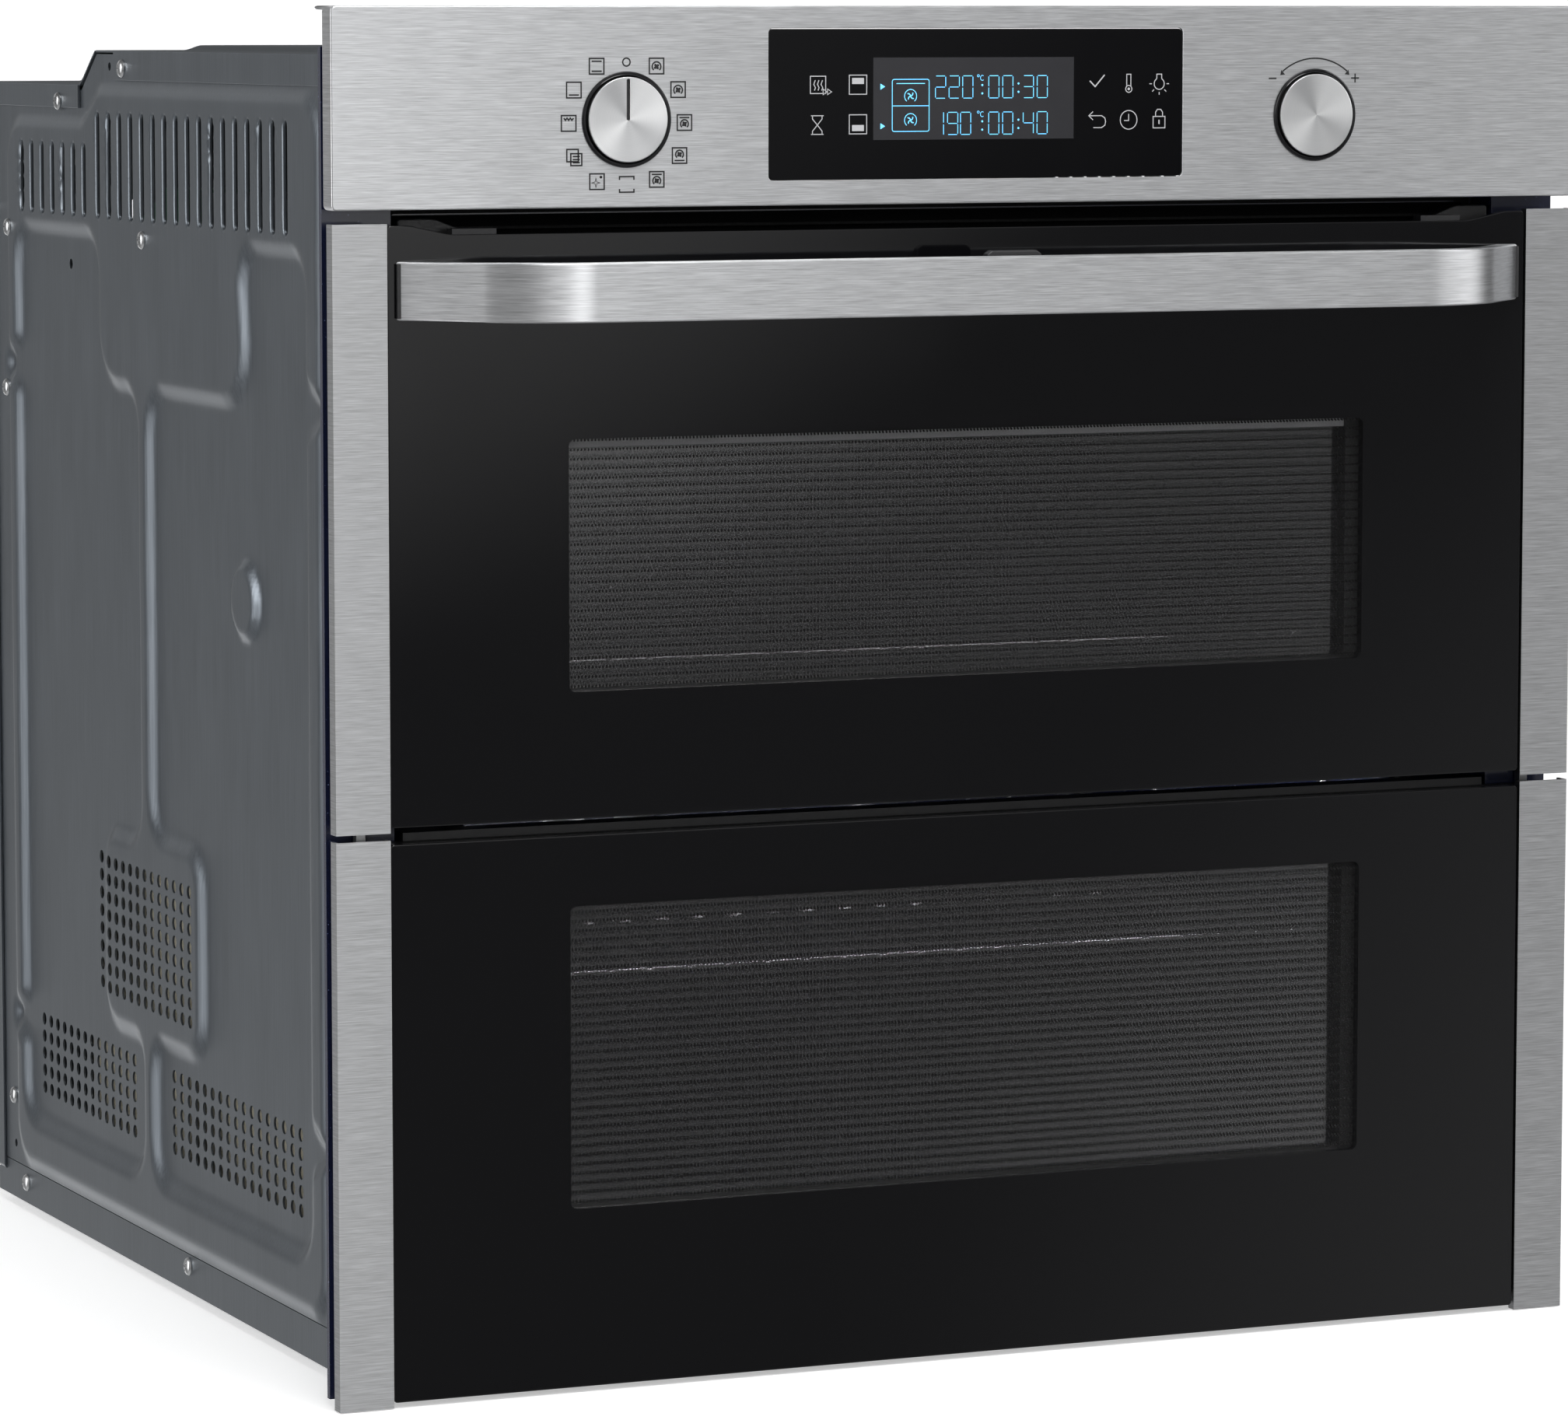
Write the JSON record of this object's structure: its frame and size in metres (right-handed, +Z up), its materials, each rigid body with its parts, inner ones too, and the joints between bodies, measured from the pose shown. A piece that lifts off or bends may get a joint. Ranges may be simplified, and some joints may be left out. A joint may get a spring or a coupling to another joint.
{
  "type": "wall oven",
  "caption": "Built-in electric wall oven with a split drop-down door, strap handle, pop-out knobs, display and a two-zone cavity.",
  "frame": {"origin": "middle of the base plate's underside, in the plane of the cabinet shelf, midway along the depth of the body behind the cabinet face", "axes": "+X to the right seen from the front, the front faces -Y, +Z up"},
  "size_m": [0.595, 0.614, 0.595],
  "materials": {
    "stainless": "fine horizontal brushing, satin",
    "black_glass": "polished, printed black behind",
    "clear_glass": "polished",
    "black_plastic": "fine moulded grain",
    "zinc_steel": "zinc-coated sheet, fine vertical rolling grain",
    "blue_enamel": "vitreous enamel with small pale specks",
    "chromed_wire": "bright plating",
    "knob_metal": "turned face with radial sheen",
    "heating_element": "heat-darkened tube",
    "mineral_wool": "pressed fibre",
    "gasket_rubber": "matt",
    "circuit_board": "solder mask",
    "motor_steel": "plain plated steel"
  },
  "bodies": {
    "root": {"base_plate": "zinc_steel", "left_side_panel": "zinc_steel", "right_side_panel": "zinc_steel", "top_cover_front": "zinc_steel", "top_cover_rear": "zinc_steel", "back_cover": "zinc_steel", "front_frame": "blue_enamel", "cavity_liner": "blue_enamel", "insulation_blanket": "mineral_wool", "cavity_gasket": "gasket_rubber", "left_shelf_support": "chromed_wire", "right_shelf_support": "chromed_wire", "divider_plate": "blue_enamel", "grill_element": "heating_element", "bottom_element": "heating_element", "upper_ring_element": "heating_element", "lower_ring_element": "heating_element", "fan_baffle": "blue_enamel", "upper_fan_motor": "motor_steel", "lower_fan_motor": "motor_steel", "lamp_cover": "clear_glass", "lamp_holder": "mineral_wool", "air_outlet_duct": "zinc_steel", "cooling_fan_housing": "zinc_steel", "cooling_fan_motor": "motor_steel", "power_board": "circuit_board", "terminal_block": "black_plastic", "control_panel": "stainless", "display_glass": "black_glass", "display_board": "circuit_board", "mode_knob_bezel": "black_plastic", "value_knob_bezel": "black_plastic", "mode_encoder": "black_plastic", "value_encoder": "black_plastic", "left_door_hinge": "motor_steel", "right_door_hinge": "motor_steel"},
    "lower_door": {"lower_outer_glass": "black_glass", "lower_left_strip": "stainless", "lower_right_strip": "stainless", "lower_inner_glass": "clear_glass", "lower_door_frame": "black_plastic", "left_split_hinge": "motor_steel", "right_split_hinge": "motor_steel"},
    "upper_door": {"upper_outer_glass": "black_glass", "upper_left_strip": "stainless", "upper_right_strip": "stainless", "upper_inner_glass": "clear_glass", "upper_door_frame": "black_plastic", "handle": "stainless"},
    "release_lever": {"release_lever": "black_plastic"},
    "mode_sleeve": {"mode_knob_sleeve": "black_plastic"},
    "mode_knob": {"mode_knob": "knob_metal"},
    "value_sleeve": {"value_knob_sleeve": "black_plastic"},
    "value_knob": {"value_knob": "knob_metal"},
    "upper_rack": {"upper_wire_rack": "chromed_wire"},
    "lower_rack": {"lower_wire_rack": "chromed_wire"},
    "upper_fan": {"upper_fan": "motor_steel"},
    "lower_fan": {"lower_fan": "motor_steel"},
    "cooling_rotor": {"cooling_fan_rotor": "black_plastic"}
  },
  "joints": [
    {"name": "door_swing", "type": "hinge", "parent": "root", "child": "lower_door", "pos_m": [0, -0.2875, 0.002], "axis": [1, 0, 0], "range_deg": [0, 90], "stiffness_Nm_per_rad": 12, "springref_deg": -6.88},
    {"name": "upper_door_swing", "type": "hinge", "parent": "lower_door", "child": "upper_door", "pos_m": [0, -0.2875, 0.249], "axis": [1, 0, 0], "range_deg": [0, 90], "stiffness_Nm_per_rad": 3, "springref_deg": -11.46},
    {"name": "release_press", "type": "slide", "parent": "upper_door", "child": "release_lever", "axis": [0, 0, -1], "range_m": [0, 0.0025], "stiffness_N_per_m": 400, "springref_m": -0.003},
    {"name": "mode_knob_pop", "type": "slide", "parent": "root", "child": "mode_sleeve", "axis": [0, -1, 0], "range_m": [0, 0.012]},
    {"name": "mode_knob_turn", "type": "hinge", "parent": "mode_sleeve", "child": "mode_knob", "pos_m": [-0.1648, -0.29, 0.5429], "axis": [0, 1, 0], "continuous": true},
    {"name": "value_knob_pop", "type": "slide", "parent": "root", "child": "value_sleeve", "axis": [0, -1, 0], "range_m": [0, 0.012]},
    {"name": "value_knob_turn", "type": "hinge", "parent": "value_sleeve", "child": "value_knob", "pos_m": [0.1648, -0.29, 0.5429], "axis": [0, 1, 0], "continuous": true},
    {"name": "upper_rack_slide", "type": "slide", "parent": "root", "child": "upper_rack", "axis": [0, -1, 0], "range_m": [0, 0.04]},
    {"name": "lower_rack_slide", "type": "slide", "parent": "root", "child": "lower_rack", "axis": [0, -1, 0], "range_m": [0, 0.04]},
    {"name": "upper_fan_spin", "type": "hinge", "parent": "root", "child": "upper_fan", "pos_m": [0, 0.17, 0.342], "axis": [0, 1, 0], "continuous": true},
    {"name": "lower_fan_spin", "type": "hinge", "parent": "root", "child": "lower_fan", "pos_m": [0, 0.17, 0.152], "axis": [0, 1, 0], "continuous": true},
    {"name": "cooling_fan_spin", "type": "hinge", "parent": "root", "child": "cooling_rotor", "pos_m": [0, 0.104, 0.508], "axis": [1, 0, 0], "continuous": true}
  ]
}
